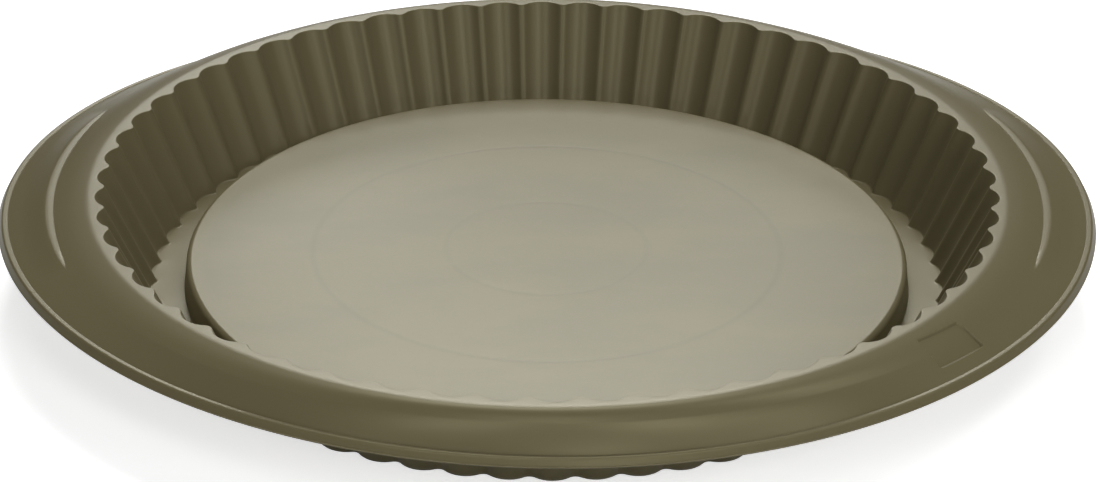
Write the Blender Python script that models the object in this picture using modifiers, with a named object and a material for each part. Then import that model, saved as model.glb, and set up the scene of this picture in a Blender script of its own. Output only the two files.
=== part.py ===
"""Silicone flan mould: a fluted round mould with a raised centre, a drooping brim and two handles.

The real object is one moulding. Its zones are modelled as separate named solids that meet with a
hairline gap: raised centre, channel floor, fluted wall, top ring, brim, handles, grip ribs and edge bead.
Units are metres, Z is up, X runs through the two handles, and the mould stands on z = 0.
"""
import math

import bmesh
import bpy

# Main sizes of the mould
HEIGHT = 0.0353
MOUTH_RADIUS = 0.1405
RING_OUTER_RADIUS = 0.1427
HALF_LENGTH = 0.1708
HALF_WIDTH = 0.1537
FLUTES = 60
FIRST_HOLLOW = math.radians(235.0)

# Wall thicknesses and the gap kept between neighbouring zones
FLOOR_THICKNESS = 0.0017
CENTRE_THICKNESS = 0.0017
WALL_THICKNESS = 0.0012
BRIM_THICKNESS = 0.0015
RING_THICKNESS = 0.0020
GAP = 0.0003

# Fluted wall
FLOOR_TIP_RADIUS = 0.1254
HOLLOW_DEPTH_AT_MOUTH = 0.0021
HOLLOW_DEPTH_AT_FLOOR = 0.0018
CUSP_SHARE = 0.21
FOOT_INNER_RADIUS = 0.1196
FOOT_ROUNDING = 0.0050
STEPS_PER_FLUTE = 6

# Raised centre and the channel round it
RAISED_TOP = 0.0105
RAISED_RADIUS = 0.1137
RAISED_FOOT_RADIUS = 0.1143
RAISED_ROUNDING = 0.0020
RAISED_FOOT_FILLET = 0.0008
SHOULDER_TURN = math.radians(85.0)
SHOULDER_STEPS = 3
SHOULDER_INNER_STEPS = 2
TURNED_STEPS = 72

# Brim, handles and edge bead. The brim starts at a share of its mean fall, bends over a share of its width
# and then falls steadily
RING_EDGE_EASE = 0.0006
BRIM_START_DROP = 0.0002
BRIM_START = 0.55
BRIM_BEND_SHARE = 0.30
EDGE_TOP_AT_HANDLES = 0.0288
EDGE_TOP_AT_FRONT = 0.0252
BEAD_FLAT = 0.0012
BEAD_BULGE = 0.0013
BEAD_HEIGHT = 0.0029
BEAD_BELLY_DEPTH = 0.0023
BEAD_TUCK = 0.0004
BEAD_ARC_STEPS = 3
BEAD_STEP = 0.00025
HANDLE_HALF_ANGLE = math.radians(36.0)
BRIM_DEGREES_PER_STEP = 4.0
BRIM_ROWS = 4

# Grip ribs
RIB_RADIUS = 0.1546
RIB_HALF_ANGLE = math.radians(21.5)
RIB_WIDTH = 0.0022
RIB_END_WIDTH = 0.0004
RIB_RISE = 0.0006
RIB_END_RISE = 0.0004
RIB_FOOT_SHARE = 0.30
RIB_STEPS = 14

# Surface
SILICONE = (0.140, 0.118, 0.072, 1.0)
LEVEL_ROUGHNESS = 0.40
SIDE_ROUGHNESS = 0.45
SHARP_EDGE = math.radians(35.0)
MERGE_DISTANCE = 0.00001


def lerp(start, end, share):
    return start + (end - start) * share


def around(radius, azimuth, height):
    """A point at a radius and azimuth about the mould's axis."""
    return (radius * math.cos(azimuth), radius * math.sin(azimuth), height)


def silicone_material(name, roughness):
    material = bpy.data.materials.new(name)
    material.use_nodes = True
    shader = material.node_tree.nodes["Principled BSDF"]
    shader.inputs["Base Color"].default_value = SILICONE
    shader.inputs["Roughness"].default_value = roughness
    shader.inputs["Metallic"].default_value = 0.0
    material.diffuse_color = SILICONE
    return material


def finish(mesh, name, collection, roughness):
    """Shade a zone smooth with its real edges kept sharp, and give it its own material."""
    mesh.shade_smooth()
    mesh.set_sharp_from_angle(angle=SHARP_EDGE)
    mesh.materials.append(silicone_material("silicone_" + name, roughness))
    zone = bpy.data.objects.new(name, mesh)
    collection.objects.link(zone)
    return zone


def turned(name, profile, closed, collection, roughness):
    """A turned zone: a profile of (radius, height) points with a Screw modifier."""
    mesh = bpy.data.meshes.new(name)
    edges = [(i, i + 1) for i in range(len(profile) - 1)]
    if closed:
        edges.append((len(profile) - 1, 0))
    mesh.from_pydata([(radius, 0.0, height) for radius, height in profile], edges, [])
    zone = finish(mesh, name, collection, roughness)
    screw = zone.modifiers.new("turn", "SCREW")
    screw.steps = TURNED_STEPS
    screw.render_steps = TURNED_STEPS
    screw.use_merge_vertices = True
    screw.merge_threshold = MERGE_DISTANCE
    screw.use_smooth_shade = True
    return zone


def lofted(name, azimuths, section, closed, collection, roughness):
    """A zone whose section changes as it runs round the axis.

    section(azimuth, share) gives the closed section's (radius, height) points, over the top outwards
    and back underneath. A closed zone joins up with its start, an open one is capped at both ends.
    """
    form = bmesh.new()
    rings = []
    for index, azimuth in enumerate(azimuths):
        share = index / (len(azimuths) - 1)
        rings.append([form.verts.new(around(r, azimuth, z)) for r, z in section(azimuth, share)])
    corners = len(rings[0])
    spans = len(rings) if closed else len(rings) - 1
    for index in range(spans):
        here = rings[index]
        there = rings[(index + 1) % len(rings)]
        for corner in range(corners):
            after = (corner + 1) % corners
            form.faces.new((here[corner], here[after], there[after], there[corner]))
    if not closed:
        form.faces.new(list(reversed(rings[0])))
        form.faces.new(rings[-1])
    mesh = bpy.data.meshes.new(name)
    form.to_mesh(mesh)
    form.free()
    return finish(mesh, name, collection, roughness)


# The flutes: wide round hollows that bulge outwards, with narrow round cusps between them
def flute_drop(azimuth, tip_radius, depth):
    """How far a fluted surface lies inside its tips: an arc across each hollow, and a round nose on each cusp."""
    pitch = 2.0 * math.pi / FLUTES
    offset = (azimuth - FIRST_HOLLOW + pitch / 2.0) % pitch - pitch / 2.0
    half_pitch = tip_radius * pitch / 2.0
    half_chord = half_pitch * (1.0 - CUSP_SHARE)
    arc_radius = (half_chord ** 2 + depth ** 2) / (2.0 * depth)
    across = abs(offset) * tip_radius
    if across <= half_chord:
        return arc_radius - math.sqrt(arc_radius ** 2 - across ** 2)
    lean = math.asin(half_chord / arc_radius)
    nose_radius = (half_pitch - half_chord) / math.sin(lean)
    return depth + math.sqrt(nose_radius ** 2 - (half_pitch - across) ** 2) - nose_radius * math.cos(lean)


def wall_share(height):
    return (height - FLOOR_THICKNESS) / (HEIGHT - FLOOR_THICKNESS)


def tip_radius_at(height):
    """Radius of the hollows' tips on the inside of the wall."""
    return lerp(FLOOR_TIP_RADIUS, MOUTH_RADIUS, wall_share(height))


def inner_radius(azimuth, height):
    tip = tip_radius_at(height)
    depth = lerp(HOLLOW_DEPTH_AT_FLOOR, HOLLOW_DEPTH_AT_MOUTH, wall_share(height))
    return tip - flute_drop(azimuth, tip, depth)


WALL_LEAN = math.atan2(MOUTH_RADIUS - FLOOR_TIP_RADIUS, HEIGHT - FLOOR_THICKNESS)


def outer_radius(azimuth, height):
    """The outside of the wall: the inside moved out by the wall's thickness."""
    return inner_radius(azimuth, height) + WALL_THICKNESS / math.cos(WALL_LEAN)


def flute_azimuths():
    count = FLUTES * STEPS_PER_FLUTE
    return [FIRST_HOLLOW + 2.0 * math.pi * i / count for i in range(count)]


def fluted_wall(collection):
    top = HEIGHT - RING_THICKNESS - GAP
    sweep = math.pi / 2.0 - WALL_LEAN
    lift = FOOT_ROUNDING * (1.0 - math.cos(sweep))
    reach = FOOT_ROUNDING * math.sin(sweep)
    half = sweep / 2.0

    def section(azimuth, share):
        bend = outer_radius(azimuth, lift) - reach
        return [
            (FOOT_INNER_RADIUS, 0.0),
            (FOOT_INNER_RADIUS, FLOOR_THICKNESS),
            (inner_radius(azimuth, FLOOR_THICKNESS), FLOOR_THICKNESS),
            (inner_radius(azimuth, top), top),
            (outer_radius(azimuth, top), top),
            (bend + reach, lift),
            (bend + FOOT_ROUNDING * math.sin(half), FOOT_ROUNDING * (1.0 - math.cos(half))),
            (bend, 0.0),
        ]

    return lofted("fluted_wall", flute_azimuths(), section, True, collection, SIDE_ROUGHNESS)


def top_ring(collection):
    """The flat ring round the mouth: a scalloped inner edge and a smooth, eased outer edge."""
    under = HEIGHT - RING_THICKNESS

    def section(azimuth, share):
        return [
            (inner_radius(azimuth, under), under),
            (inner_radius(azimuth, HEIGHT), HEIGHT),
            (RING_OUTER_RADIUS - RING_EDGE_EASE, HEIGHT),
            (RING_OUTER_RADIUS, HEIGHT - BRIM_START_DROP),
            (RING_OUTER_RADIUS, under),
        ]

    return lofted("top_ring", flute_azimuths(), section, True, collection, LEVEL_ROUGHNESS)


def raised_centre(collection):
    """The flat top of the raised centre."""
    edge = RAISED_RADIUS - RAISED_ROUNDING - GAP
    profile = [
        (0.0, RAISED_TOP),
        (edge, RAISED_TOP),
        (edge, RAISED_TOP - CENTRE_THICKNESS),
        (0.0, RAISED_TOP - CENTRE_THICKNESS),
    ]
    return turned("raised_centre", profile, False, collection, LEVEL_ROUGHNESS)


def raised_centre_wall(collection):
    """The rounded shoulder and drafted side of the raised centre, hollow underneath."""
    start = RAISED_RADIUS - RAISED_ROUNDING
    level = RAISED_TOP - RAISED_ROUNDING
    profile = []
    for step in range(SHOULDER_STEPS + 1):
        turn = lerp(0.0, SHOULDER_TURN, step / SHOULDER_STEPS)
        profile.append((start + RAISED_ROUNDING * math.sin(turn), level + RAISED_ROUNDING * math.cos(turn)))
    fillet = RAISED_FOOT_FILLET
    fillet_middle = fillet * (1.0 - math.cos(math.pi / 4.0))
    profile.append((RAISED_FOOT_RADIUS, FLOOR_THICKNESS + fillet))
    profile.append((RAISED_FOOT_RADIUS + fillet_middle, FLOOR_THICKNESS + fillet_middle))
    profile.append((RAISED_FOOT_RADIUS + fillet, FLOOR_THICKNESS))
    profile.append((RAISED_FOOT_RADIUS + fillet, 0.0))
    profile.append((RAISED_FOOT_RADIUS - CENTRE_THICKNESS, 0.0))
    inner_round = RAISED_ROUNDING - CENTRE_THICKNESS
    for step in range(SHOULDER_INNER_STEPS + 1):
        turn = lerp(SHOULDER_TURN, 0.0, step / SHOULDER_INNER_STEPS)
        profile.append((start + inner_round * math.sin(turn), level + inner_round * math.cos(turn)))
    return turned("raised_centre_wall", profile, True, collection, SIDE_ROUGHNESS)


def channel_floor(collection):
    """The flat ring that the mould stands on, between the raised centre and the flutes."""
    inner = RAISED_FOOT_RADIUS + RAISED_FOOT_FILLET + GAP
    outer = FOOT_INNER_RADIUS - GAP
    profile = [(inner, FLOOR_THICKNESS), (outer, FLOOR_THICKNESS), (outer, 0.0), (inner, 0.0)]
    return turned("channel_floor", profile, True, collection, LEVEL_ROUGHNESS)


# The brim droops from the top ring to the edge bead. It is widest at the handles
def wave(azimuth, at_handles, at_front):
    """A value that swings smoothly between the two handles and the front and back."""
    return (at_handles + at_front) / 2.0 + (at_handles - at_front) / 2.0 * math.cos(2.0 * azimuth)


def crest_radius(azimuth):
    return wave(azimuth, HALF_LENGTH, HALF_WIDTH) - BEAD_BULGE


def crest_height(azimuth):
    return wave(azimuth, EDGE_TOP_AT_HANDLES, EDGE_TOP_AT_FRONT)


def brim_outer_radius(azimuth):
    return crest_radius(azimuth) - BEAD_FLAT - GAP


def brim_slope_and_height(azimuth, radius):
    """The brim's fall per unit of radius, and its top surface, at one place."""
    inner = RING_OUTER_RADIUS + GAP
    width = brim_outer_radius(azimuth) - inner
    fall = HEIGHT - BRIM_START_DROP - crest_height(azimuth) + BEAD_STEP
    share = (radius - inner) / width
    steady = (1.0 - BRIM_BEND_SHARE * BRIM_START / 2.0) / (1.0 - BRIM_BEND_SHARE / 2.0)
    if share < BRIM_BEND_SHARE:
        rate = lerp(BRIM_START, steady, share / BRIM_BEND_SHARE)
        drop = share * (BRIM_START + rate) / 2.0
    else:
        rate = steady
        drop = BRIM_BEND_SHARE * (BRIM_START + steady) / 2.0 + steady * (share - BRIM_BEND_SHARE)
    return fall / width * rate, HEIGHT - BRIM_START_DROP - fall * drop


def brim_height(azimuth, radius):
    return brim_slope_and_height(azimuth, radius)[1]


def arc_azimuths(start, end, degrees_per_step):
    steps = max(2, round(math.degrees(end - start) / degrees_per_step))
    return [lerp(start, end, i / steps) for i in range(steps + 1)]


def brim_arcs():
    """Names and azimuths of the four stretches of the brim, each with half a gap at its ends."""
    half = GAP / 2.0 / RING_OUTER_RADIUS
    turn = HANDLE_HALF_ANGLE
    right = (-turn + half, turn - half)
    rear = (turn + half, math.pi - turn - half)
    return {
        "right_handle": right,
        "rear_brim": rear,
        "left_handle": (right[0] + math.pi, right[1] + math.pi),
        "front_brim": (rear[0] + math.pi, rear[1] + math.pi),
    }


def brim_stretch(name, start, end, collection):
    def section(azimuth, share):
        inner = RING_OUTER_RADIUS + GAP
        outer = brim_outer_radius(azimuth)
        over = []
        under = []
        for row in range(BRIM_ROWS + 1):
            radius = lerp(inner, outer, row / BRIM_ROWS)
            slope, height = brim_slope_and_height(azimuth, radius)
            over.append((radius, height))
            under.append((radius, height - BRIM_THICKNESS * math.hypot(1.0, slope)))
        return over + list(reversed(under))

    azimuths = arc_azimuths(start, end, BRIM_DEGREES_PER_STEP)
    return lofted(name, azimuths, section, False, collection, SIDE_ROUGHNESS)


def bead_stretch(name, start, end, collection):
    """The thick lip on the edge: a narrow level top, a round outer side and a flat underside."""
    def section(azimuth, share):
        crest = crest_radius(azimuth)
        top = crest_height(azimuth)
        points = [(crest - BEAD_FLAT, top)]
        for step in range(BEAD_ARC_STEPS + 1):
            turn = lerp(0.0, math.pi / 2.0, step / BEAD_ARC_STEPS)
            points.append((crest + BEAD_BULGE * math.sin(turn),
                           top - BEAD_BELLY_DEPTH * (1.0 - math.cos(turn))))
        points.append((crest + BEAD_BULGE - BEAD_TUCK, top - BEAD_HEIGHT))
        points.append((crest - BEAD_FLAT, top - BEAD_HEIGHT))
        return points

    azimuths = arc_azimuths(start, end, BRIM_DEGREES_PER_STEP)
    return lofted(name, azimuths, section, False, collection, LEVEL_ROUGHNESS)


def grip_rib(name, centre, collection):
    """The low rib on a handle: a level top that stands on the sloping brim and tapers to its ends."""
    def section(azimuth, share):
        taper = math.sqrt(max(0.0, 1.0 - (2.0 * share - 1.0) ** 2))
        width = lerp(RIB_END_WIDTH, RIB_WIDTH, taper)
        rise = lerp(RIB_END_RISE, RIB_RISE, taper)
        inner = RIB_RADIUS - width / 2.0
        outer = RIB_RADIUS + width / 2.0
        foot = outer + RIB_FOOT_SHARE * width
        level = brim_height(azimuth, inner) + rise
        return [
            (inner, level),
            (outer, level),
            (foot, brim_height(azimuth, foot) + GAP),
            (inner, brim_height(azimuth, inner) + GAP),
        ]

    azimuths = [lerp(centre - RIB_HALF_ANGLE, centre + RIB_HALF_ANGLE, i / RIB_STEPS)
                for i in range(RIB_STEPS + 1)]
    return lofted(name, azimuths, section, False, collection, LEVEL_ROUGHNESS)


def build():
    for item in list(bpy.data.objects):
        bpy.data.objects.remove(item, do_unlink=True)
    collection = bpy.data.collections.new("silicone_flan_mould")
    bpy.context.scene.collection.children.link(collection)
    raised_centre(collection)
    raised_centre_wall(collection)
    channel_floor(collection)
    fluted_wall(collection)
    top_ring(collection)
    for name, (start, end) in brim_arcs().items():
        brim_stretch(name, start, end, collection)
        bead_stretch(name.split("_")[0] + "_edge_bead", start, end, collection)
    grip_rib("right_grip_rib", 0.0, collection)
    grip_rib("left_grip_rib", math.pi, collection)


build()
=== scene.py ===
import math

import bmesh
import bpy
from bpy.props import FloatProperty, FloatVectorProperty, IntProperty, PointerProperty
from mathutils import Matrix, Vector


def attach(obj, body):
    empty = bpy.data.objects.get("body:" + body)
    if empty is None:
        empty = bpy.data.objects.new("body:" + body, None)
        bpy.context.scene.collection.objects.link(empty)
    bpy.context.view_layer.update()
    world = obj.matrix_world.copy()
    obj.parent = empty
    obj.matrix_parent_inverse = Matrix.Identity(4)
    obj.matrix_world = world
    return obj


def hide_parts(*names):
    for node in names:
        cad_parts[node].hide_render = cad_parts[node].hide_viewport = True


bl_info = {
    "name": "Silicone flan mould",
    "version": (1, 0, 0),
    "blender": (4, 5, 0),
    "location": "View3D > Sidebar > Flan mould",
    "description": "Models a fluted silicone flan mould with two handles, and the stage it stands on",
    "category": "Add Mesh",
}

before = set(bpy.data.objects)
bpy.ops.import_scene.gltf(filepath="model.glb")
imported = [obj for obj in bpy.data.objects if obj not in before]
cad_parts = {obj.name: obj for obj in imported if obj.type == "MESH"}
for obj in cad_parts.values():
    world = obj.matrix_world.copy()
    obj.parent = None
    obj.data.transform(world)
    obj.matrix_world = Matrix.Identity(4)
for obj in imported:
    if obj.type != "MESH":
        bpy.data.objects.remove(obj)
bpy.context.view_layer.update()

MM = 0.001
SKIN_NAME = "silicone_moulding"

# Columns of faces round each turned zone
TOP_COLUMNS = 360
UNDERSIDE_COLUMNS = 240
BRIM_COLUMNS = 480

# How the zones are joined and smoothed
AZIMUTH_DIGITS = 6
MERGE_DISTANCE = 0.01 * MM
SEAM_MARGIN = 0.3 * MM
SEAM_HEIGHT = 0.1 * MM
SMOOTH_ANGLE = math.radians(40.0)

# Silicone's surface. The clouds and the tool rings' painted shade fade in between two distances inside the
# raised centre's edge.
# Each tool ring has its own strength of painted shade, which stands in for the shade in its shallow groove,
# and the shape is in half widths of the ring
CLOUDS = {"Scale": 26.0, "Detail": 3.0, "Roughness": 0.5}
CLOUD_STRETCH = (0.7, 1.3, 1.0)
CLOUD_RANGE = {"From Min": 0.40, "From Max": 0.62}
CLOUD_AND_RING_SHADE_EDGE = (1.0 * MM, 6.0 * MM)
TOOL_RING_PAINTED_SHADE = (0.45, 0.65)
TOOL_RING_SHADE_SHAPE = ((-1.2, 0.0), (-0.2, 1.0), (0.2, 1.0), (1.2, 0.0))
GRAIN = {"Scale": 900.0, "Detail": 3.0}
GRAIN_BUMP = {"Strength": 0.12, "Distance": 0.02 * MM}
ROUGHNESS_SPREAD = 0.04
WHITE = (1.0, 1.0, 1.0, 1.0)


# Settings

class FLAN_PG_sizes(bpy.types.PropertyGroup):
    """The mould's sizes"""
    height: FloatProperty(
        name="Height", description="From the base to the top of the ring round the mouth",
        default=0.0353, unit="LENGTH")
    mouth_radius: FloatProperty(
        name="Mouth radius", description="From the axis to the flute tips at the mouth",
        default=0.1405, unit="LENGTH")
    floor_radius: FloatProperty(
        name="Floor radius", description="From the axis to the flute tips on the channel floor",
        default=0.1254, unit="LENGTH")
    ring_radius: FloatProperty(
        name="Ring radius", description="Outer radius of the flat ring round the mouth",
        default=0.1427, unit="LENGTH")
    half_length: FloatProperty(
        name="Half length", description="From the axis to the outside of a handle",
        default=0.1708, unit="LENGTH")
    half_width: FloatProperty(
        name="Half width", description="From the axis to the outside of the brim at the front",
        default=0.15365, unit="LENGTH")
    flutes: IntProperty(
        name="Flutes", description="Hollows round the wall",
        default=60, min=3)
    first_hollow: FloatProperty(
        name="First hollow", description="Azimuth of the middle of one hollow",
        default=math.radians(235.0), subtype="ANGLE")
    mouth_hollow_depth: FloatProperty(
        name="Hollow depth at the mouth", description="Depth of the round hollow of a flute at the mouth",
        default=0.0021, unit="LENGTH")
    floor_hollow_depth: FloatProperty(
        name="Hollow depth at the floor", description="Depth of the round hollow of a flute on the floor",
        default=0.0018, unit="LENGTH")
    cusp_share: FloatProperty(
        name="Cusp share", description="Share of a flute's width that its round cusps take",
        default=0.21, min=0.02, max=0.8, subtype="FACTOR")
    floor_thickness: FloatProperty(
        name="Floor thickness", description="Thickness of the channel floor",
        default=0.0017, unit="LENGTH")
    centre_thickness: FloatProperty(
        name="Centre thickness", description="Thickness of the raised centre",
        default=0.0017, unit="LENGTH")
    wall_thickness: FloatProperty(
        name="Wall thickness", description="Thickness of the fluted wall",
        default=0.0012, unit="LENGTH")
    brim_thickness: FloatProperty(
        name="Brim thickness", description="Thickness of the brim and handles",
        default=0.0015, unit="LENGTH")
    raised_top: FloatProperty(
        name="Raised centre", description="Height of the raised centre's top",
        default=0.0105, unit="LENGTH")
    raised_radius: FloatProperty(
        name="Raised centre radius", description="Radius of the raised centre at its top",
        default=0.1134, unit="LENGTH")
    raised_foot_radius: FloatProperty(
        name="Raised centre foot", description="Radius of the raised centre where it meets the channel",
        default=0.1143, unit="LENGTH")
    edge_top_at_handles: FloatProperty(
        name="Edge height at the handles", description="Top of the edge bead on the handles",
        default=0.0295, unit="LENGTH")
    edge_top_at_front: FloatProperty(
        name="Edge height at the front", description="Top of the edge bead at the front and back",
        default=0.0246, unit="LENGTH")
    edge_lean: FloatProperty(
        name="Edge lean",
        description="How much the soft brim's edge rises to the right and falls to the left",
        default=0.0004, unit="LENGTH")
    edge_twist: FloatProperty(
        name="Edge twist",
        description="How much the soft brim's edge rises at the back right and front left",
        default=0.0008, unit="LENGTH")
    ledge_radius: FloatProperty(
        name="Grip ledge radius", description="Radius of the middle of the grip ledge on each handle",
        default=0.1548, unit="LENGTH")
    ledge_half_angle: FloatProperty(
        name="Grip ledge half angle", description="Half of the arc that a grip ledge spans",
        default=math.radians(21.0), subtype="ANGLE")
    ledge_width: FloatProperty(
        name="Grip ledge width", description="Width of the grip ledge at its middle",
        default=0.0026, unit="LENGTH")
    panel_azimuth: FloatProperty(
        name="Panel azimuth", description="Where the bare sunk panel lies on the brim",
        default=math.radians(-40.7), subtype="ANGLE")
    panel_radius: FloatProperty(
        name="Panel radius", description="From the axis to the middle of the bare sunk panel",
        default=0.1519, unit="LENGTH")
    panel_length: FloatProperty(
        name="Panel length", description="Length of the bare sunk panel along the brim",
        default=0.0188, unit="LENGTH")
    panel_width: FloatProperty(
        name="Panel width", description="Width of the bare sunk panel across the brim",
        default=0.0091, unit="LENGTH")
    panel_depth: FloatProperty(
        name="Panel depth", description="How far the bare panel is sunk into the brim",
        default=0.0008, unit="LENGTH")


class FLAN_PG_finish(bpy.types.PropertyGroup):
    """The silicone's colour and finish"""
    colour: FloatVectorProperty(
        name="Silicone", description="Colour of the silicone",
        default=(0.143, 0.1232, 0.0658), size=3, min=0.0, max=1.0, subtype="COLOR")
    # The colour that the clouds and the tool rings' painted shade darken the raised centre towards
    clouding: FloatVectorProperty(
        name="Clouding", description="Colour of the duller clouds on the raised centre",
        default=(0.126, 0.1090, 0.0590), size=3, min=0.0, max=1.0, subtype="COLOR")
    roughness: FloatProperty(
        name="Roughness", description="Roughness of the satin surface",
        default=0.34, min=0.0, max=1.0, subtype="FACTOR")
    gloss_tint: FloatVectorProperty(
        name="Gloss tint", description="Colour of the soft gloss where the surface is seen head on",
        default=(1.0, 0.94, 0.62), size=3, min=0.0, max=1.0, subtype="COLOR")
    ior: FloatProperty(
        name="IOR", description="Refractive index of the silicone",
        default=1.404, min=1.0)


class FLAN_PG_stage(bpy.types.PropertyGroup):
    """The floor, the lamps and the camera"""
    floor_colour: FloatVectorProperty(
        name="Floor", description="Colour of the plain floor",
        default=(0.90, 0.90, 0.90), size=3, min=0.0, max=1.0, subtype="COLOR")
    floor_lift: FloatProperty(
        name="Floor lift", description="What the camera sees added to the lit floor, up to white",
        default=0.66, min=0.0)
    panel_distance: FloatProperty(
        name="Panel distance", description="From the mould to each soft panel",
        default=2.2, unit="LENGTH")
    surround: FloatProperty(
        name="Surround", description="Strength of the even light from all round",
        default=0.01, min=0.0)
    lens: FloatProperty(
        name="Lens", description="Focal length of the camera, in millimetres",
        default=103.1, unit="CAMERA")


# Form of the mould

def lerp(start, end, share):
    return start + (end - start) * share


def around(radius, azimuth, height):
    """A point at a radius and azimuth about the mould's axis."""
    return Vector((radius * math.cos(azimuth), radius * math.sin(azimuth), height))


def eased(corners):
    """A section's points. Each corner (radius, height, ease, steps) is rounded by an arc of that many steps
    that starts and ends at the ease's distance from it. A corner of no steps stays sharp."""
    points = []
    for index, (radius, height, ease, steps) in enumerate(corners):
        corner = Vector((radius, height))
        if steps == 0:
            points.append(tuple(corner))
            continue
        before = (Vector(corners[index - 1][:2]) - corner).normalized()
        after = (Vector(corners[index + 1][:2]) - corner).normalized()
        start = corner + before * ease
        end = corner + after * ease
        weight = math.sqrt(max(0.0, (1.0 - before.dot(after)) / 2.0))
        for step in range(steps + 1):
            share = step / steps
            shares = ((1.0 - share) ** 2, 2.0 * weight * share * (1.0 - share), share ** 2)
            point = (start * shares[0] + corner * shares[1] + end * shares[2]) / sum(shares)
            points.append(tuple(point))
    return points


class MouldForm:
    """The mould's sections about its axis, worked out from its sizes.

    An ease is a corner's rounding: its distance from the corner, and its steps. A pair of two lengths or
    shares gives the values at the handles and at the front."""

    SHARP = (0.0, 0)

    # Seams where two zones meet: how far the inner and the outer zone's open edge lies outside the raised
    # centre's foot, and for the last two outside the ring's edge
    CHANNEL_SEAM = (3.1 * MM, 3.7 * MM)
    BASE_SEAM = (3.6 * MM, 4.2 * MM)
    RING_SEAM = (-1.3 * MM, -0.9 * MM)
    UNDER_BRIM_SEAM = (-0.3 * MM, 0.1 * MM)
    RING_THICKNESS = 2.0 * MM

    # Flutes. The columns across a hollow and across a cusp stand as even steps round an arc, seen flat
    GROOVE_SHARE = 0.26
    OUTSIDE_DEPTH_SHARE = 0.90
    HOLLOW_COLUMNS = 7
    CUSP_COLUMNS = 4
    COLUMN_ARC = math.radians(46.0)
    FLUTE_FLOOR_EASE = (0.5 * MM, 2)
    MOUTH_EASE = (0.28 * MM, 3)
    UNDER_BRIM_EASE = (0.9 * MM, 3)
    FLUTE_FOOT_EASE = (3.29 * MM, 7)

    # Raised centre. A fan of faces fills its middle, inside the first loop
    FAN_RADIUS = 20.0 * MM
    TOOL_RINGS = (31.8 * MM, 74.0 * MM)
    TOOL_RING_HALF_WIDTH = 1.3 * MM
    TOOL_RING_DEPTH = 0.02 * MM
    TOOL_RING_STEPS = (-5, -3, -1, 1, 3, 5)
    SHOULDER_EASE = (1.6 * MM, 9)
    CENTRE_FOOT_EASE = (0.25 * MM, 2)
    CEILING_INSET = 1.6 * MM
    CEILING_EASE = (0.9 * MM, 4)
    HOLLOW_FOOT_INSET = 2.1 * MM
    HOLLOW_FOOT_EASE = (0.4 * MM, 3)

    # Brim
    RING_EASE = (0.75 * MM, 5)
    BRIM_START = (0.55, 0.12)
    BRIM_BEND_SHARE = (0.30, 0.90)
    BRIM_BEND_POWER = 1.5
    BRIM_FIRST_ROW = 1.2 * MM
    BRIM_ROWS_BEFORE_LEDGE = 4
    BRIM_ROWS_AFTER_LEDGE = 5
    UNDERSIDE_LAST_ROW = 1.8 * MM
    UNDERSIDE_ROWS = 8

    # Edge bead
    BEAD_FLAT = (1.7 * MM, 1.3 * MM)
    BEAD_ROUNDING = (0.50 * MM, 0.65 * MM)
    BEAD_ROUNDING_STEPS = 8
    BEAD_BULGE = 1.3 * MM
    BEAD_DROP = 2.3 * MM
    BEAD_HEIGHT = 2.9 * MM
    BEAD_TUCK = 0.4 * MM
    BEAD_LIP = 1.2 * MM
    BEAD_STEP = 0.17 * MM
    BEAD_STEP_WIDTH = 0.12 * MM
    BEAD_STEP_EASE = (0.06 * MM, 4)
    BEAD_INNER_EASE = (0.10 * MM, 2)
    PARTING_LINE = (0.16 * MM, 0.45 * MM)
    PARTING_DROP = 0.08 * MM
    PARTING_EASE = (0.05 * MM, 2)
    BELLY_EASE = (0.08 * MM, 3)
    TUCK_EASE = (0.25 * MM, 3)
    LIP_EASE = (0.25 * MM, 2)

    # Grip ledges. The fade's rows give their place across it, and the share of the ledge's lift left there
    LEDGE_END_WIDTH = 0.3 * MM
    LEDGE_RISE = 0.12 * MM
    LEDGE_CREASE = 0.3 * MM
    LEDGE_STEP = 0.12 * MM
    LEDGE_EDGE_SHARE = 0.12
    LEDGE_EDGE_LIFT = 0.96
    LEDGE_FADE = 7.0 * MM
    LEDGE_FADE_ROWS = ((0.2, 0.78), (0.45, 0.46), (0.75, 0.14), (1.0, 0.0))
    LEDGE_END_ANGLE = math.radians(4.0)
    LEDGE_CLAMP = math.radians(25.0)
    LEDGE_TURN = math.radians(1.25)
    LEDGE_SHIFT = 0.35 * MM
    LEDGE_TAPER_POWER = 3

    # Sunk panel. The quarters of its outline give each corner's side along and across the brim, the angle
    # that it starts at, and the pieces of the straight side that follows it
    PANEL_CORNER = 1.1 * MM
    PANEL_DRAFT = 0.25 * MM
    PANEL_TIP = 0.05
    PANEL_CHAMFER = 0.18 * MM
    PANEL_CHAMFER_DEPTH = 1.1 * PANEL_CHAMFER
    PANEL_FOOT_DRAFT = 0.60 * MM
    PANEL_TURN = math.radians(5.5)
    PANEL_QUARTERS = ((1, 1, 0.0, 6), (-1, 1, 90.0, 3), (-1, -1, 180.0, 6), (1, -1, 270.0, 3))
    PANEL_CORNER_STEPS = 4
    PANEL_FLOOR_LOOPS = (0.3, 0.6, 0.85, 1.0)
    PANEL_CLEARANCE = 2.0 * MM

    def __init__(self, sizes):
        for name in FLAN_PG_sizes.__annotations__:
            setattr(self, name, getattr(sizes, name))
        self.lean = math.atan2(self.mouth_radius - self.floor_radius, self.height - self.floor_thickness)
        self.channel_seam = [self.raised_foot_radius + offset for offset in self.CHANNEL_SEAM]
        self.base_seam = [self.raised_foot_radius + offset for offset in self.BASE_SEAM]
        self.ring_seam = [self.ring_radius + offset for offset in self.RING_SEAM]
        self.under_brim_seam = [self.ring_radius + offset for offset in self.UNDER_BRIM_SEAM]

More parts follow.
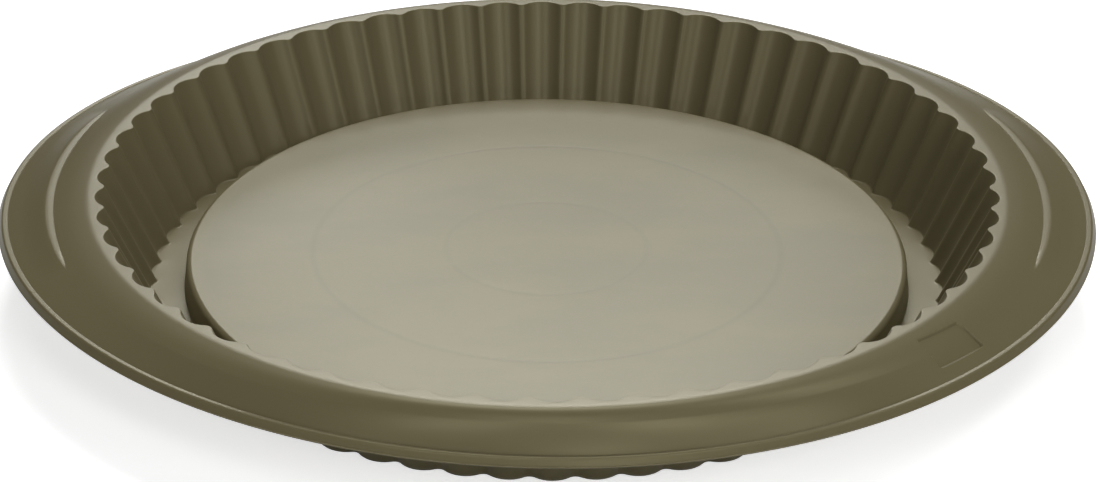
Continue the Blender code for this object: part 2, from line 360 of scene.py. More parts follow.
    # Flutes: wide round hollows that bulge outwards, with narrow round cusps between them
    def flute_drop(self, share, tip_radius, depth, cusp_share):
        """How far the wall lies inside the flute tips, from a hollow's middle (0) to a cusp (1)."""
        half_pitch = tip_radius * math.pi / self.flutes
        half_chord = half_pitch * (1.0 - cusp_share)
        arc = (half_chord ** 2 + depth ** 2) / (2.0 * depth)
        across = abs(share) * half_pitch
        if across <= half_chord:
            return arc - math.sqrt(arc ** 2 - across ** 2)
        lean = math.asin(half_chord / arc)
        nose = (half_pitch - half_chord) / math.sin(lean)
        return depth + math.sqrt(nose ** 2 - (half_pitch - across) ** 2) - nose * math.cos(lean)

    def tips_and_depth(self, height):
        """Radius of the flute tips inside, and depth of the hollows, at a height of the wall."""
        up = (height - self.floor_thickness) / (self.height - self.floor_thickness)
        return (lerp(self.floor_radius, self.mouth_radius, up),
                lerp(self.floor_hollow_depth, self.mouth_hollow_depth, up))

    def inner_radius(self, share, height):
        tip, depth = self.tips_and_depth(height)
        return tip - self.flute_drop(share, tip, depth, self.cusp_share)

    def outer_radius(self, share, height):
        tip, depth = self.tips_and_depth(height)
        tip += self.wall_thickness / math.cos(self.lean)
        return tip - self.flute_drop(share, tip, depth * self.OUTSIDE_DEPTH_SHARE, self.GROOVE_SHARE)

    def flute_shares(self):
        """Where the columns of one flute stand, from cusp to cusp, closer together on the cusps."""
        arc = self.COLUMN_ARC
        half = [(1.0 - self.cusp_share) * math.sin(arc * i / self.HOLLOW_COLUMNS) / math.sin(arc)
                for i in range(self.HOLLOW_COLUMNS + 1)]
        half += [1.0 - self.cusp_share * math.sin(arc * (1.0 - i / self.CUSP_COLUMNS)) / math.sin(arc)
                 for i in range(1, self.CUSP_COLUMNS + 1)]
        return [-share for share in reversed(half[1:])] + half

    def inside_of_flute(self, share):
        """From the channel floor up the inside of the wall to the ring."""
        floor, top = self.floor_thickness, self.height
        return eased([
            (self.channel_seam[1], floor, *self.SHARP),
            (self.inner_radius(share, floor), floor, *self.FLUTE_FLOOR_EASE),
            (self.inner_radius(share, top), top, *self.MOUTH_EASE),
            (self.ring_seam[0], top, *self.SHARP),
        ])

    def outside_of_flute(self, share):
        """From under the brim down the outside of the wall, round its foot to the base."""
        under = self.height - self.RING_THICKNESS
        return eased([
            (self.under_brim_seam[0], under, *self.SHARP),
            (self.outer_radius(share, under), under, *self.UNDER_BRIM_EASE),
            (self.outer_radius(share, 0.0), 0.0, *self.FLUTE_FOOT_EASE),
            (self.base_seam[1], 0.0, *self.SHARP),
        ])

    # Raised centre, with the two faint rings that the tool leaves on its top
    def centre_top(self):
        top = self.raised_top
        corners = [(self.FAN_RADIUS, top, *self.SHARP)]
        for radius in self.TOOL_RINGS:
            for step in self.TOOL_RING_STEPS:
                share = step / self.TOOL_RING_STEPS[-1]
                sunk = self.TOOL_RING_DEPTH * (1.0 + math.cos(math.pi * share)) / 2.0
                corners.append((radius + self.TOOL_RING_HALF_WIDTH * share, top - sunk, *self.SHARP))
        corners += [
            (self.raised_radius, top, *self.SHOULDER_EASE),
            (self.raised_foot_radius, self.floor_thickness, *self.CENTRE_FOOT_EASE),
            (self.channel_seam[0], self.floor_thickness, *self.SHARP),
        ]
        return eased(corners)

    def centre_underside(self):
        ceiling = self.raised_top - self.centre_thickness
        return eased([
            (self.FAN_RADIUS, ceiling, *self.SHARP),
            (self.raised_radius - self.CEILING_INSET, ceiling, *self.CEILING_EASE),
            (self.raised_foot_radius - self.HOLLOW_FOOT_INSET, 0.0, *self.HOLLOW_FOOT_EASE),
            (self.base_seam[0], 0.0, *self.SHARP),
        ])

    # Brim, handles, grip ledges and edge bead
    def wave(self, azimuth, at_handles, at_front):
        """A value that swings smoothly between the handles and the front and back."""
        return (at_handles + at_front) / 2.0 + (at_handles - at_front) / 2.0 * math.cos(2.0 * azimuth)

    def crest_radius(self, azimuth):
        return self.wave(azimuth, self.half_length, self.half_width) - self.BEAD_BULGE

    def crest_height(self, azimuth):
        level = self.wave(azimuth, self.edge_top_at_handles, self.edge_top_at_front)
        return level + self.edge_lean * math.cos(azimuth) + self.edge_twist * math.sin(2.0 * azimuth)

    def bead_inner(self, azimuth):
        return self.crest_radius(azimuth) - self.wave(azimuth, *self.BEAD_FLAT)

    def brim_outer(self, azimuth):
        return self.bead_inner(azimuth) - self.BEAD_STEP_WIDTH

    def brim(self, azimuth, radius):
        """Height and outward fall of the brim's plain top surface."""
        width = self.brim_outer(azimuth) - self.ring_radius
        fall = self.height - self.crest_height(azimuth) + self.BEAD_STEP
        share = (radius - self.ring_radius) / width
        start = self.wave(azimuth, *self.BRIM_START)
        bend = self.wave(azimuth, *self.BRIM_BEND_SHARE)
        power = self.BRIM_BEND_POWER
        gain = (1.0 - start) / (1.0 - bend + bend / (power + 1.0))
        bent = max(0.0, min(share, bend))
        grown = (bent / bend) ** power
        drop = share * start + gain * (grown * bent / (power + 1.0) + max(0.0, share - bend))
        return self.height - fall * drop, fall / width * (start + gain * grown)

    def from_ledge(self, azimuth):
        """Signed angle from the middle of the nearest grip ledge."""
        return math.remainder(azimuth - self.LEDGE_TURN, math.pi)

    def ledge_edges(self, azimuth):
        """Inner and outer radius of the grip ledge, which tapers to its ends."""
        turn = abs(self.from_ledge(azimuth))
        taper = math.sqrt(max(0.0, 1.0 - (turn / self.ledge_half_angle) ** self.LEDGE_TAPER_POWER))
        width = lerp(self.LEDGE_END_WIDTH, self.ledge_width, taper)
        middle = self.ledge_radius + math.copysign(self.LEDGE_SHIFT, math.cos(azimuth))
        return middle - width / 2.0, middle + width / 2.0

    def ledge_rows(self, azimuth):
        """Rows of the brim that carry the grip ledge: its crease, level top and soft outer side.

        Each is a radius and the share of the ledge's lift there. It is None on the level top."""
        inner, outer = self.ledge_edges(azimuth)
        width = outer - inner
        edge = self.LEDGE_EDGE_SHARE * width
        rows = [(inner - self.LEDGE_CREASE, 0.0), (inner, 0.0), (inner + self.LEDGE_STEP, None),
                (inner + 0.5 * width, None), (outer - edge, None), (outer + edge, self.LEDGE_EDGE_LIFT)]
        return rows + [(outer + reach * self.LEDGE_FADE, share) for reach, share in self.LEDGE_FADE_ROWS]

    def ledge_lift(self, azimuth, share, radius):
        """How far the grip ledge lifts the brim, from the share of its lift in that row."""
        turn = abs(self.from_ledge(azimuth))
        if share == 0.0 or turn >= self.ledge_half_angle:
            return 0.0
        inner, outer = self.ledge_edges(azimuth)
        fade_in = min(1.0, (self.ledge_half_angle - turn) / self.LEDGE_END_ANGLE)
        level = self.brim(azimuth, inner)[0] + self.LEDGE_RISE * fade_in
        if share is None:
            return level - self.brim(azimuth, radius)[0]
        return share * (level - self.brim(azimuth, outer)[0])

    def brim_rows(self, azimuth):
        """Rows over the top of the brim, as at the nearest ledge: radius there, and share of its lift."""
        first = self.ring_radius + self.BRIM_FIRST_ROW
        outer = self.brim_outer(azimuth)
        ledge = self.ledge_rows(azimuth)
        before, after = self.BRIM_ROWS_BEFORE_LEDGE, self.BRIM_ROWS_AFTER_LEDGE
        rows = [(lerp(first, ledge[0][0], i / before), 0.0) for i in range(before)]
        rows += ledge
        return rows + [(lerp(ledge[-1][0], outer, i / after), 0.0) for i in range(1, after)]

    def brim_section(self, azimuth):
        """Right round the brim: from the ring over the top to the edge bead, and back underneath."""
        turn = self.from_ledge(azimuth)
        nearest = azimuth - (turn - max(-self.LEDGE_CLAMP, min(self.LEDGE_CLAMP, turn)))
        outer = self.brim_outer(azimuth)
        here = outer - self.ring_radius
        there = self.brim_outer(nearest) - self.ring_radius
        corners = [(self.ring_seam[1], self.height, *self.SHARP),
                   (self.ring_radius, self.height, *self.RING_EASE)]
        for at_ledge, share in self.brim_rows(nearest):
            radius = self.ring_radius + (at_ledge - self.ring_radius) * here / there
            height = self.brim(azimuth, radius)[0] + self.ledge_lift(azimuth, share, radius)
            corners.append((radius, height, *self.SHARP))
        crest = self.crest_radius(azimuth)
        belly = crest + self.BEAD_BULGE
        top = self.crest_height(azimuth)
        parting = self.wave(azimuth, *self.PARTING_LINE)
        corners += [
            (outer, top - self.BEAD_STEP, *self.BEAD_STEP_EASE),
            (self.bead_inner(azimuth), top, *self.BEAD_INNER_EASE),
            (crest, top, self.wave(azimuth, *self.BEAD_ROUNDING), self.BEAD_ROUNDING_STEPS),
            (belly - parting, top - self.BEAD_DROP + self.PARTING_DROP, *self.PARTING_EASE),
            (belly, top - self.BEAD_DROP, *self.BELLY_EASE),
            (belly - self.BEAD_TUCK, top - self.BEAD_HEIGHT, *self.TUCK_EASE),
            (crest - self.BEAD_LIP, top - self.BEAD_HEIGHT, *self.LIP_EASE),
        ]
        for index in range(self.UNDERSIDE_ROWS + 1):
            radius = lerp(outer, self.ring_radius + self.UNDERSIDE_LAST_ROW, index / self.UNDERSIDE_ROWS)
            height, slope = self.brim(azimuth, radius)
            tilt = math.hypot(1.0, slope)
            corners.append((radius - self.brim_thickness * slope / tilt,
                            height - self.brim_thickness / tilt, *self.SHARP))
        corners.append((self.under_brim_seam[1], self.height - self.RING_THICKNESS, *self.SHARP))
        return eased(corners)

    # The bare panel, sunk into the brim beside the right handle
    def panel_outline(self, margin):
        """Points round the panel, with round corners: along and across the brim.

        The margin is measured from the panel's floor, and the panel's size at its top edge."""
        margin -= self.PANEL_DRAFT + self.PANEL_CHAMFER
        length = self.panel_length / 2.0 + margin
        width = self.panel_width / 2.0 + margin
        corner = self.PANEL_CORNER + margin
        corners = []
        for along, across, start, _ in self.PANEL_QUARTERS:
            turns = [math.radians(start + 90.0 * step / self.PANEL_CORNER_STEPS)
                     for step in range(self.PANEL_CORNER_STEPS + 1)]
            corners.append([(along * (length - corner) + corner * math.cos(turn),
                             across * (width - corner) + corner * math.sin(turn)) for turn in turns])
        outline = []
        for index, (_, _, _, pieces) in enumerate(self.PANEL_QUARTERS):
            last = corners[index][-1]
            following = corners[(index + 1) % len(corners)][0]
            outline += corners[index]
            outline += [(lerp(last[0], following[0], i / pieces), lerp(last[1], following[1], i / pieces))
                        for i in range(1, pieces)]
        return outline

    def panel_place(self, along, across, lift):
        """A point over the panel, at a lift from the brim's surface."""
        azimuth = self.panel_azimuth + along / self.panel_radius
        radius = self.panel_radius + across + along * math.tan(self.PANEL_TURN)
        return around(radius, azimuth, self.brim(azimuth, radius)[0] + lift)

    def panel_floor_loop(self, share):
        """A loop of the panel's floor, which lies deeper towards the edge bead."""
        return [self.panel_place(along * share, across * share,
                                 -self.panel_depth - self.PANEL_TIP * (across * share))
                for along, across in self.panel_outline(0.0)]

    def panel_side_loop(self, margin, lift):
        """A loop of the panel's sides. The side towards the edge bead leans out more than the others."""
        loop = []
        for along, across in self.panel_outline(margin):
            across += self.PANEL_FOOT_DRAFT * max(0.0, across) * 2.0 / self.panel_width
            loop.append(self.panel_place(along, across, lift))
        return loop

    def panel_loops(self):
        """The loops of the body that cuts the panel: its floor, its drafted side and its chamfered edge."""
        edge = self.PANEL_DRAFT + self.PANEL_CHAMFER
        return [self.panel_floor_loop(share) for share in self.PANEL_FLOOR_LOOPS] + [
            self.panel_side_loop(self.PANEL_DRAFT, -self.PANEL_CHAMFER_DEPTH),
            self.panel_side_loop(edge, 0.0),
            self.panel_side_loop(edge, self.PANEL_CLEARANCE),
        ]


# Modelling helpers

def object_mode():
    """Object mode with nothing selected, as each piece starts."""
    if bpy.context.object is not None and bpy.context.object.mode != "OBJECT":
        bpy.ops.object.mode_set(mode="OBJECT")
    bpy.ops.object.select_all(action="DESELECT")


def take_up(piece):
    """Object mode with one piece selected and active."""
    object_mode()
    piece.select_set(True)
    bpy.context.view_layer.objects.active = piece


def select_rim(mesh):
    """Selects the open edge of a filled circle in edit mode."""
    for vertex in mesh.verts:
        vertex.select = vertex.is_boundary
    mesh.select_flush_mode()


def face_outwards():
    """Turns every face of the piece in edit mode outwards, and leaves edit mode."""
    bpy.ops.mesh.select_all(action="SELECT")
    bpy.ops.mesh.normals_make_consistent(inside=False)
    bpy.ops.object.mode_set(mode="OBJECT")


def settle_loop(piece, rule, row):
    """Puts the selected loop on a row of the section that the rule gives for each azimuth."""
    mesh = bmesh.from_edit_mesh(piece.data)
    for vertex in mesh.verts:
        if vertex.select:
            azimuth = math.atan2(vertex.co.y, vertex.co.x)
            radius, height = rule(azimuth)[row]
            vertex.co = around(radius, azimuth, height)
    bmesh.update_edit_mesh(piece.data)


def drawn_round(name, columns, rule, filled):
    """A circle extruded loop by loop along a section that may change round the axis."""
    object_mode()
    bpy.ops.mesh.primitive_circle_add(
        vertices=columns, radius=1.0, fill_type="TRIFAN" if filled else "NOTHING", enter_editmode=True)
    piece = bpy.context.object
    piece.name = name
    bpy.ops.mesh.select_mode(type="VERT")
    if filled:
        bpy.ops.transform.translate(value=(0.0, 0.0, rule(0.0)[0][1]))
        select_rim(bmesh.from_edit_mesh(piece.data))
        bmesh.update_edit_mesh(piece.data)
    sections = {}

    def kept_section(azimuth):
        key = round(azimuth, AZIMUTH_DIGITS)
        if key not in sections:
            sections[key] = rule(azimuth)
        return sections[key]

    settle_loop(piece, kept_section, 0)
    for row in range(1, len(rule(0.0))):
        bpy.ops.mesh.extrude_edges_move()
        settle_loop(piece, kept_section, row)
    bpy.ops.object.mode_set(mode="OBJECT")


def drawn_flutes(name, form, section):
    """One flute shaped from a grid and spun round the axis to the full count."""
    shares = form.flute_shares()
    rows = len(section(0.0))
    object_mode()
    bpy.ops.mesh.primitive_grid_add(
        x_subdivisions=len(shares) - 1, y_subdivisions=rows - 1, size=2.0, enter_editmode=True)
    piece = bpy.context.object
    piece.name = name
    sections = [section(share) for share in shares]
    mesh = bmesh.from_edit_mesh(piece.data)
    for vertex in mesh.verts:
        column = round((vertex.co.x + 1.0) / 2.0 * (len(shares) - 1))
        row = round((vertex.co.y + 1.0) / 2.0 * (rows - 1))
        azimuth = form.first_hollow + shares[column] * math.pi / form.flutes
        radius, height = sections[column][row]
        vertex.co = around(radius, azimuth, height)
    bmesh.update_edit_mesh(piece.data)
    bpy.ops.mesh.select_all(action="SELECT")
    turn = 2.0 * math.pi / form.flutes
    bpy.ops.mesh.spin(
        steps=form.flutes - 1, dupli=True, angle=turn * (form.flutes - 1), center=(0, 0, 0), axis=(0, 0, 1))
    bpy.ops.mesh.select_all(action="SELECT")
    bpy.ops.mesh.remove_doubles(threshold=MERGE_DISTANCE)
    bpy.ops.object.mode_set(mode="OBJECT")


def close_seam(piece, radii, height):
    """Closes the seam at a height between two open round loops of unlike counts, an inner and an outer."""
    middle = (radii[0] + radii[1]) / 2.0
    reach = (radii[1] - radii[0]) / 2.0 + SEAM_MARGIN
    mesh = bmesh.from_edit_mesh(piece.data)
    loops = ([], [])
    for vertex in mesh.verts:
        radius = math.hypot(vertex.co.x, vertex.co.y)
        if vertex.is_boundary and abs(radius - middle) < reach and abs(vertex.co.z - height) < SEAM_HEIGHT:
            loops[radius > middle].append((math.atan2(vertex.co.y, vertex.co.x), vertex))
    for loop in loops:
        loop.sort(key=lambda entry: entry[0])
        loop.append((loop[0][0] + 2.0 * math.pi, loop[0][1]))
    inner, outer = loops
    here, there = 0, 0
    while here < len(inner) - 1 or there < len(outer) - 1:
        step_inner = there == len(outer) - 1 or (
            here < len(inner) - 1 and inner[here + 1][0] <= outer[there + 1][0])
        if step_inner:
            mesh.faces.new((inner[here][1], inner[here + 1][1], outer[there][1]))
            here += 1
        else:
            mesh.faces.new((inner[here][1], outer[there + 1][1], outer[there][1]))
            there += 1
    bmesh.update_edit_mesh(piece.data)


def check_closed(piece):
    """Stops the script if a piece isn't one closed body with its faces outwards."""
    check = bmesh.new()
    check.from_mesh(piece.data)
    loose = [edge for edge in check.edges if not edge.is_manifold]
    volume = check.calc_volume(signed=True)
    check.free()
    if loose or volume <= 0.0:
        raise RuntimeError(f"{piece.name} isn't closed: {len(loose)} open edges, volume {volume}")


# Materials

def new_material(name):
    material = bpy.data.materials.new(name)
    material.use_nodes = True
    nodes = material.node_tree.nodes
    return material, nodes, material.node_tree.links, nodes["Principled BSDF"]


def set_inputs(node, values):
    """Puts plain values on a node's sockets."""
    for socket, value in values.items():
        node.inputs[socket].default_value = value
    return node


def operation_node(nodes, kind, operation):
    """A Math or Vector Math node set to an operation."""
    node = nodes.new(kind)
    node.operation = operation
    return node


def tool_ring_painted_shade(nodes, links, distance, form):
    """How much painted shade darkens each tool ring, standing in for the shade in its shallow groove, by
    distance from the mould's middle.
    """
    reach = operation_node(nodes, "ShaderNodeMath", "DIVIDE")
    reach.inputs[1].default_value = form.raised_radius
    links.new(distance, reach.inputs[0])
    painted_ring_shade = nodes.new("ShaderNodeFloatCurve")
    curve = painted_ring_shade.mapping.curves[0]
    curve.points[0].location = (0.0, 0.0)
    curve.points[1].location = (1.0, 0.0)
    # Painted shade across each tool ring's shallow groove, in place of the groove's own shading
    for radius, strength in zip(form.TOOL_RINGS, TOOL_RING_PAINTED_SHADE):
        for step, share in TOOL_RING_SHADE_SHAPE:
            place = math.hypot(radius + step * form.TOOL_RING_HALF_WIDTH, form.raised_top)
            curve.points.new(place / form.raised_radius, share * strength)
    for point in curve.points:
        point.handle_type = "VECTOR"
    painted_ring_shade.mapping.update()
    links.new(reach.outputs[0], painted_ring_shade.inputs["Value"])
    return painted_ring_shade.outputs[0]


def silicone_material(finish, form):
    """Satin silicone: a faint fine grain all over, and duller clouds and painted shade in the tool rings on
    the raised centre.
    """
    material, nodes, links, shader = new_material("olive_silicone")
    place = nodes.new("ShaderNodeTexCoord").outputs["Object"]
    length = operation_node(nodes, "ShaderNodeVectorMath", "LENGTH")
    links.new(place, length.inputs[0])
    distance = length.outputs["Value"]

    # Clouds and the tool rings' painted shade, which stop short of the raised centre's shoulder
    stretched = operation_node(nodes, "ShaderNodeVectorMath", "MULTIPLY")
    stretched.inputs[1].default_value = CLOUD_STRETCH
    links.new(place, stretched.inputs[0])
    clouds = set_inputs(nodes.new("ShaderNodeTexNoise"), CLOUDS)
    links.new(stretched.outputs["Vector"], clouds.inputs["Vector"])
    clouded = set_inputs(nodes.new("ShaderNodeMapRange"), CLOUD_RANGE)
    links.new(clouds.outputs["Fac"], clouded.inputs["Value"])
    cloud_and_ring_shade_amount = operation_node(nodes, "ShaderNodeMath", "ADD")
    links.new(clouded.outputs[0], cloud_and_ring_shade_amount.inputs[0])
    # Adds the tool rings' painted shade to the clouds
    links.new(tool_ring_painted_shade(nodes, links, distance, form), cloud_and_ring_shade_amount.inputs[1])
    mask = set_inputs(nodes.new("ShaderNodeMapRange"), {
        "From Min": form.raised_radius - CLOUD_AND_RING_SHADE_EDGE[0],
        "From Max": form.raised_radius - CLOUD_AND_RING_SHADE_EDGE[1],
    })
    links.new(distance, mask.inputs["Value"])
    clouding = operation_node(nodes, "ShaderNodeMath", "MULTIPLY")
    links.new(mask.outputs[0], clouding.inputs[0])
    links.new(cloud_and_ring_shade_amount.outputs[0], clouding.inputs[1])
    colour = nodes.new("ShaderNodeMix")
    colour.data_type = "RGBA"
    colour.clamp_factor = False
    set_inputs(colour, {"A": (*finish.colour, 1.0), "B": (*finish.clouding, 1.0)})
    links.new(clouding.outputs[0], colour.inputs["Factor"])
    links.new(colour.outputs["Result"], shader.inputs["Base Color"])

    # Fine grain in the gloss and the surface
    grain = set_inputs(nodes.new("ShaderNodeTexNoise"), GRAIN)
    links.new(place, grain.inputs["Vector"])
    rough = set_inputs(nodes.new("ShaderNodeMapRange"), {
        "To Min": finish.roughness - ROUGHNESS_SPREAD,
        "To Max": finish.roughness + ROUGHNESS_SPREAD,
    })
    links.new(grain.outputs["Fac"], rough.inputs["Value"])
    links.new(rough.outputs[0], shader.inputs["Roughness"])
    bump = set_inputs(nodes.new("ShaderNodeBump"), GRAIN_BUMP)
    links.new(grain.outputs["Fac"], bump.inputs["Height"])
    links.new(bump.outputs["Normal"], shader.inputs["Normal"])
    set_inputs(shader, {"IOR": finish.ior, "Specular Tint": (*finish.gloss_tint, 1.0)})
    return material


# Operators

class FLAN_OT_centre(bpy.types.Operator):
    """Models the raised centre with its rounded shoulder, the channel floor and the hollow underneath"""
    bl_idname = "flan.centre"
    bl_label = "Raised centre"

    def execute(self, context):
        form = MouldForm(context.scene.flan_sizes)
        top, under = form.centre_top(), form.centre_underside()
        drawn_round("centre_top", TOP_COLUMNS, lambda azimuth: top, True)
        drawn_round("centre_underside", UNDERSIDE_COLUMNS, lambda azimuth: under, True)
        return {"FINISHED"}


class FLAN_OT_flutes(bpy.types.Operator):
    """Models the fluted wall, inside and out, with the scalloped inner edge of the ring"""
    bl_idname = "flan.flutes"
    bl_label = "Fluted wall"

    def execute(self, context):
        form = MouldForm(context.scene.flan_sizes)
        drawn_flutes("flutes_inside", form, form.inside_of_flute)
        drawn_flutes("flutes_outside", form, form.outside_of_flute)
        return {"FINISHED"}


class FLAN_OT_brim(bpy.types.Operator):
    """Models the brim with its two handles, their grip ledges and the edge bead"""
    bl_idname = "flan.brim"
    bl_label = "Brim and handles"

    def execute(self, context):
        form = MouldForm(context.scene.flan_sizes)
        drawn_round("brim", BRIM_COLUMNS, form.brim_section, False)
        return {"FINISHED"}


class FLAN_OT_moulding(bpy.types.Operator):
    """Joins the zones to the one continuous moulding"""
    bl_idname = "flan.moulding"
    bl_label = "One moulding"

    def execute(self, context):
        form = MouldForm(context.scene.flan_sizes)
        skin = bpy.data.objects["centre_top"]
        take_up(skin)
        for name in ("centre_underside", "flutes_inside", "flutes_outside", "brim"):
            bpy.data.objects[name].select_set(True)
        bpy.ops.object.join()
        skin.name = SKIN_NAME
        bpy.ops.object.mode_set(mode="EDIT")
        close_seam(skin, form.channel_seam, form.floor_thickness)
        close_seam(skin, form.base_seam, 0.0)
        close_seam(skin, form.ring_seam, form.height)
        close_seam(skin, form.under_brim_seam, form.height - form.RING_THICKNESS)
        face_outwards()
        check_closed(skin)
        return {"FINISHED"}


class FLAN_OT_panel(bpy.types.Operator):
    """Sinks the bare panel into the brim beside the right handle"""
    bl_idname = "flan.panel"
    bl_label = "Bare panel"

    def make_cutter(self, form):
        """The closed body that cuts the panel: a filled circle extruded loop by loop, and capped."""
        object_mode()
        loops = form.panel_loops()
        bpy.ops.mesh.primitive_circle_add(
            vertices=len(loops[0]), radius=1.0, fill_type="TRIFAN", enter_editmode=True)
        cutter = bpy.context.object
        cutter.name = "panel_cutter"
        mesh = bmesh.from_edit_mesh(cutter.data)
        select_rim(mesh)
        for vertex in mesh.verts:
            if not vertex.is_boundary:
                vertex.co = form.panel_place(0.0, 0.0, -form.panel_depth)
        bmesh.update_edit_mesh(cutter.data)
        for index, loop in enumerate(loops):
            if index:
                bpy.ops.mesh.extrude_edges_move()
            mesh = bmesh.from_edit_mesh(cutter.data)
            rim = [vertex for vertex in mesh.verts if vertex.select]
            rim.sort(key=lambda vertex: vertex.index)
            for vertex, point in zip(rim, loop):
                vertex.co = point
            bmesh.update_edit_mesh(cutter.data)
        bpy.ops.mesh.edge_face_add()
        face_outwards()
        check_closed(cutter)
        return cutter

    def execute(self, context):
        cutter = self.make_cutter(MouldForm(context.scene.flan_sizes))
        skin = bpy.data.objects[SKIN_NAME]
        take_up(skin)
        bpy.ops.object.modifier_add(type="BOOLEAN")
        cut = skin.modifiers[-1]
        cut.operation = "DIFFERENCE"
        cut.solver = "EXACT"
        cut.object = cutter
        bpy.ops.object.modifier_apply(modifier=cut.name)
        bpy.data.objects.remove(cutter)
        check_closed(skin)
        return {"FINISHED"}


class FLAN_OT_silicone(bpy.types.Operator):
    """Shades the moulding smooth and gives it its silicone"""
    bl_idname = "flan.silicone"
    bl_label = "Silicone"

    def execute(self, context):
        skin = bpy.data.objects[SKIN_NAME]
        take_up(skin)
        bpy.ops.object.shade_smooth_by_angle(angle=SMOOTH_ANGLE)
        bpy.ops.object.modifier_add(type="WEIGHTED_NORMAL")
        skin.modifiers[-1].keep_sharp = True
        bpy.ops.object.modifier_apply(modifier=skin.modifiers[-1].name)
        form = MouldForm(context.scene.flan_sizes)
        skin.data.materials.clear()
        skin.data.materials.append(silicone_material(context.scene.flan_finish, form))
        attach(skin, "root")
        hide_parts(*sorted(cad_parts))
        return {"FINISHED"}


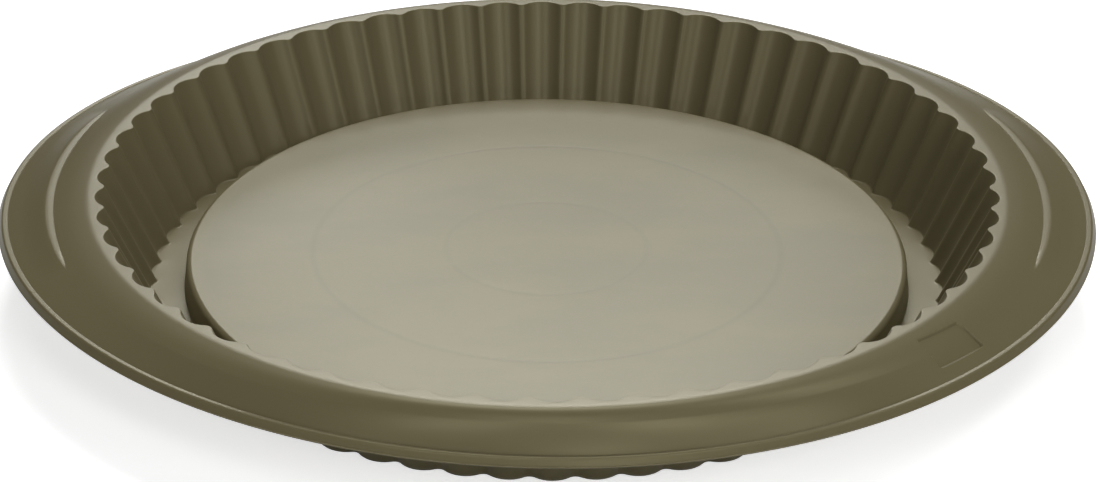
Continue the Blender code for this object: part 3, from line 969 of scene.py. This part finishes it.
class FLAN_OT_stage(bpy.types.Operator):
    """Sets the plain pale floor, the soft panels, the surround and the camera"""
    bl_idname = "flan.stage"
    bl_label = "Stage"

    FLOOR_SIZE = 12.0
    FLOOR_DROP = 0.2 * MM
    FLOOR_ROUGHNESS = 0.9
    SENSOR_WIDTH = 36.0
    CLIP_START = 0.01
    CAMERA_PLACE = (0.0, -0.8860, 0.4677)
    CAMERA_PITCH = math.radians(27.187)
    CAMERA_YAW = math.radians(0.062)
    CAMERA_ROLL = math.radians(0.538)

    # Name, azimuth, elevation, width, height and power of each soft panel, all aimed at the mould
    PANELS = (
        ("high_back_panel", 90.0, 66.0, 0.80, 0.40, 16.5),
        ("upper_back_panel", 90.0, 43.0, 0.70, 0.40, 8.2),
        ("lower_back_panel", 90.0, 36.0, 0.70, 0.40, 9.7),
        ("low_back_left_panel", 100.0, 20.0, 0.40, 0.40, 2.4),
        ("low_back_right_panel", 80.0, 20.0, 0.40, 0.40, 1.2),
        ("right_panel", 0.0, 60.0, 0.50, 0.50, 4.9),
        ("front_right_panel", -40.0, 30.0, 0.60, 0.60, 3.7),
        ("low_front_panel", -80.0, 7.0, 0.40, 0.35, 4.0),
        ("near_front_right_panel", -66.0, 32.0, 0.60, 0.60, 7.6),
        ("front_panel", -90.0, 52.0, 0.60, 0.60, 4.6),
        ("front_left_panel", -108.0, 32.0, 0.60, 0.60, 6.2),
    )

    def lay_floor(self, stage):
        """The plain floor, which keeps the mould's shadow and is lifted up to white for the camera."""
        object_mode()
        bpy.ops.mesh.primitive_plane_add(size=self.FLOOR_SIZE, location=(0.0, 0.0, -self.FLOOR_DROP))
        floor = bpy.context.object
        floor.name = "floor"
        material, nodes, links, shader = new_material("pale_floor")
        set_inputs(shader, {
            "Base Color": (*stage.floor_colour, 1.0),
            "Roughness": self.FLOOR_ROUGHNESS,
            "Emission Color": WHITE,
        })
        lift = operation_node(nodes, "ShaderNodeMath", "MULTIPLY")
        lift.inputs[1].default_value = stage.floor_lift
        links.new(nodes.new("ShaderNodeLightPath").outputs["Is Camera Ray"], lift.inputs[0])
        links.new(lift.outputs[0], shader.inputs["Emission Strength"])
        floor.data.materials.append(material)

    def hang_panel(self, name, azimuth, elevation, width, height, power, distance):
        """A soft panel of light at a distance from the mould, aimed at its base."""
        object_mode()
        reach = distance * math.cos(elevation)
        location = around(reach, azimuth, distance * math.sin(elevation))
        bpy.ops.object.light_add(type="AREA", location=location)
        lamp = bpy.context.object
        lamp.name = name
        lamp.data.shape = "RECTANGLE"
        lamp.data.size = width
        lamp.data.size_y = height
        lamp.data.energy = power
        lamp.rotation_euler = (-location).to_track_quat("-Z", "Y").to_euler()

    def set_surround(self, scene, strength):
        """Even light from all round, which the camera sees as white."""
        world = bpy.data.worlds.new("surround")
        scene.world = world
        world.use_nodes = True
        nodes, links = world.node_tree.nodes, world.node_tree.links
        background = set_inputs(nodes["Background"], {"Color": WHITE})
        seen = set_inputs(nodes.new("ShaderNodeMapRange"), {"To Min": strength, "To Max": 1.0})
        links.new(nodes.new("ShaderNodeLightPath").outputs["Is Camera Ray"], seen.inputs["Value"])
        links.new(seen.outputs[0], background.inputs["Strength"])

    def set_camera(self, scene, lens):
        """The camera in front of the mould, looking down into it."""
        pitch, yaw, roll = self.CAMERA_PITCH, self.CAMERA_YAW, self.CAMERA_ROLL
        ahead = Vector((math.sin(yaw) * math.cos(pitch), math.cos(yaw) * math.cos(pitch), -math.sin(pitch)))
        right = Vector((math.cos(yaw), -math.sin(yaw), 0.0))
        up = right.cross(ahead)
        turned_right = right * math.cos(roll) + up * math.sin(roll)
        turned_up = up * math.cos(roll) - right * math.sin(roll)
        bpy.ops.object.camera_add()
        camera = bpy.context.object
        camera.name = "camera"
        camera.data.sensor_width = self.SENSOR_WIDTH
        camera.data.lens = lens
        camera.data.clip_start = self.CLIP_START
        turn = Matrix((turned_right, turned_up, -ahead)).transposed().to_4x4()
        camera.matrix_world = Matrix.Translation(self.CAMERA_PLACE) @ turn
        scene.camera = camera

    def execute(self, context):
        stage = context.scene.flan_stage
        self.lay_floor(stage)
        for name, azimuth, elevation, width, height, power in self.PANELS:
            self.hang_panel(name, math.radians(azimuth), math.radians(elevation), width, height, power,
                            stage.panel_distance)
        self.set_surround(context.scene, stage.surround)
        self.set_camera(context.scene, stage.lens)
        context.scene.view_settings.view_transform = "Standard"
        return {"FINISHED"}


class FLAN_PT_panel(bpy.types.Panel):
    """Lists the steps that make the mould and its stage, and their settings"""
    bl_label = "Flan mould"
    bl_idname = "FLAN_PT_panel"
    bl_space_type = "VIEW_3D"
    bl_region_type = "UI"
    bl_category = "Flan mould"

    def draw(self, context):
        for operator in OPERATORS:
            self.layout.operator(operator.bl_idname)
        for name, group in SETTINGS:
            box = self.layout.box()
            for setting in group.__annotations__:
                box.prop(getattr(context.scene, name), setting)


SETTINGS = (
    ("flan_sizes", FLAN_PG_sizes),
    ("flan_finish", FLAN_PG_finish),
    ("flan_stage", FLAN_PG_stage),
)
OPERATORS = (FLAN_OT_centre, FLAN_OT_flutes, FLAN_OT_brim, FLAN_OT_moulding, FLAN_OT_panel,
             FLAN_OT_silicone, FLAN_OT_stage)


def register():
    for name, group in SETTINGS:
        bpy.utils.register_class(group)
        setattr(bpy.types.Scene, name, PointerProperty(type=group))
    for item in OPERATORS + (FLAN_PT_panel,):
        bpy.utils.register_class(item)


def unregister():
    for item in reversed(OPERATORS + (FLAN_PT_panel,)):
        bpy.utils.unregister_class(item)
    for name, group in reversed(SETTINGS):
        delattr(bpy.types.Scene, name)
        bpy.utils.unregister_class(group)


def main():
    register()
    bpy.ops.flan.centre()
    bpy.ops.flan.flutes()
    bpy.ops.flan.brim()
    bpy.ops.flan.moulding()
    bpy.ops.flan.panel()
    bpy.ops.flan.silicone()
    bpy.ops.flan.stage()


if __name__ == "__main__":
    main()
